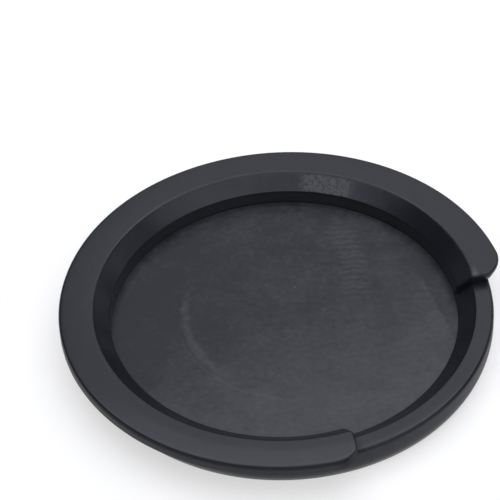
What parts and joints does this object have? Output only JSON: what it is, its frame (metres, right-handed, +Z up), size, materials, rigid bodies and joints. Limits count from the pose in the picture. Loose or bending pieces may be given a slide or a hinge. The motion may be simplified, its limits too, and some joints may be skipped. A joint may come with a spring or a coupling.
{
  "type": "guitar soundhole cover",
  "caption": "Round rubber plug with a shallow dish and a C-shaped lip, which closes an acoustic guitar's soundhole against feedback and clears the end of the fingerboard.",
  "frame": {"origin": "centre of the plug's flat underside", "axes": "+Z up out of the dish, away from the inside of the guitar; +X towards the middle of the fingerboard gap in the lip; +Y across the strings"},
  "size_m": [0.108, 0.112, 0.0108],
  "materials": {
    "moulded_rubber": "satin moulded black rubber with a faint bloom"
  },
  "bodies": {
    "root": {"seating_flange": "moulded_rubber", "plug_ring": "moulded_rubber", "floor_membrane": "moulded_rubber"}
  },
  "joints": []
}
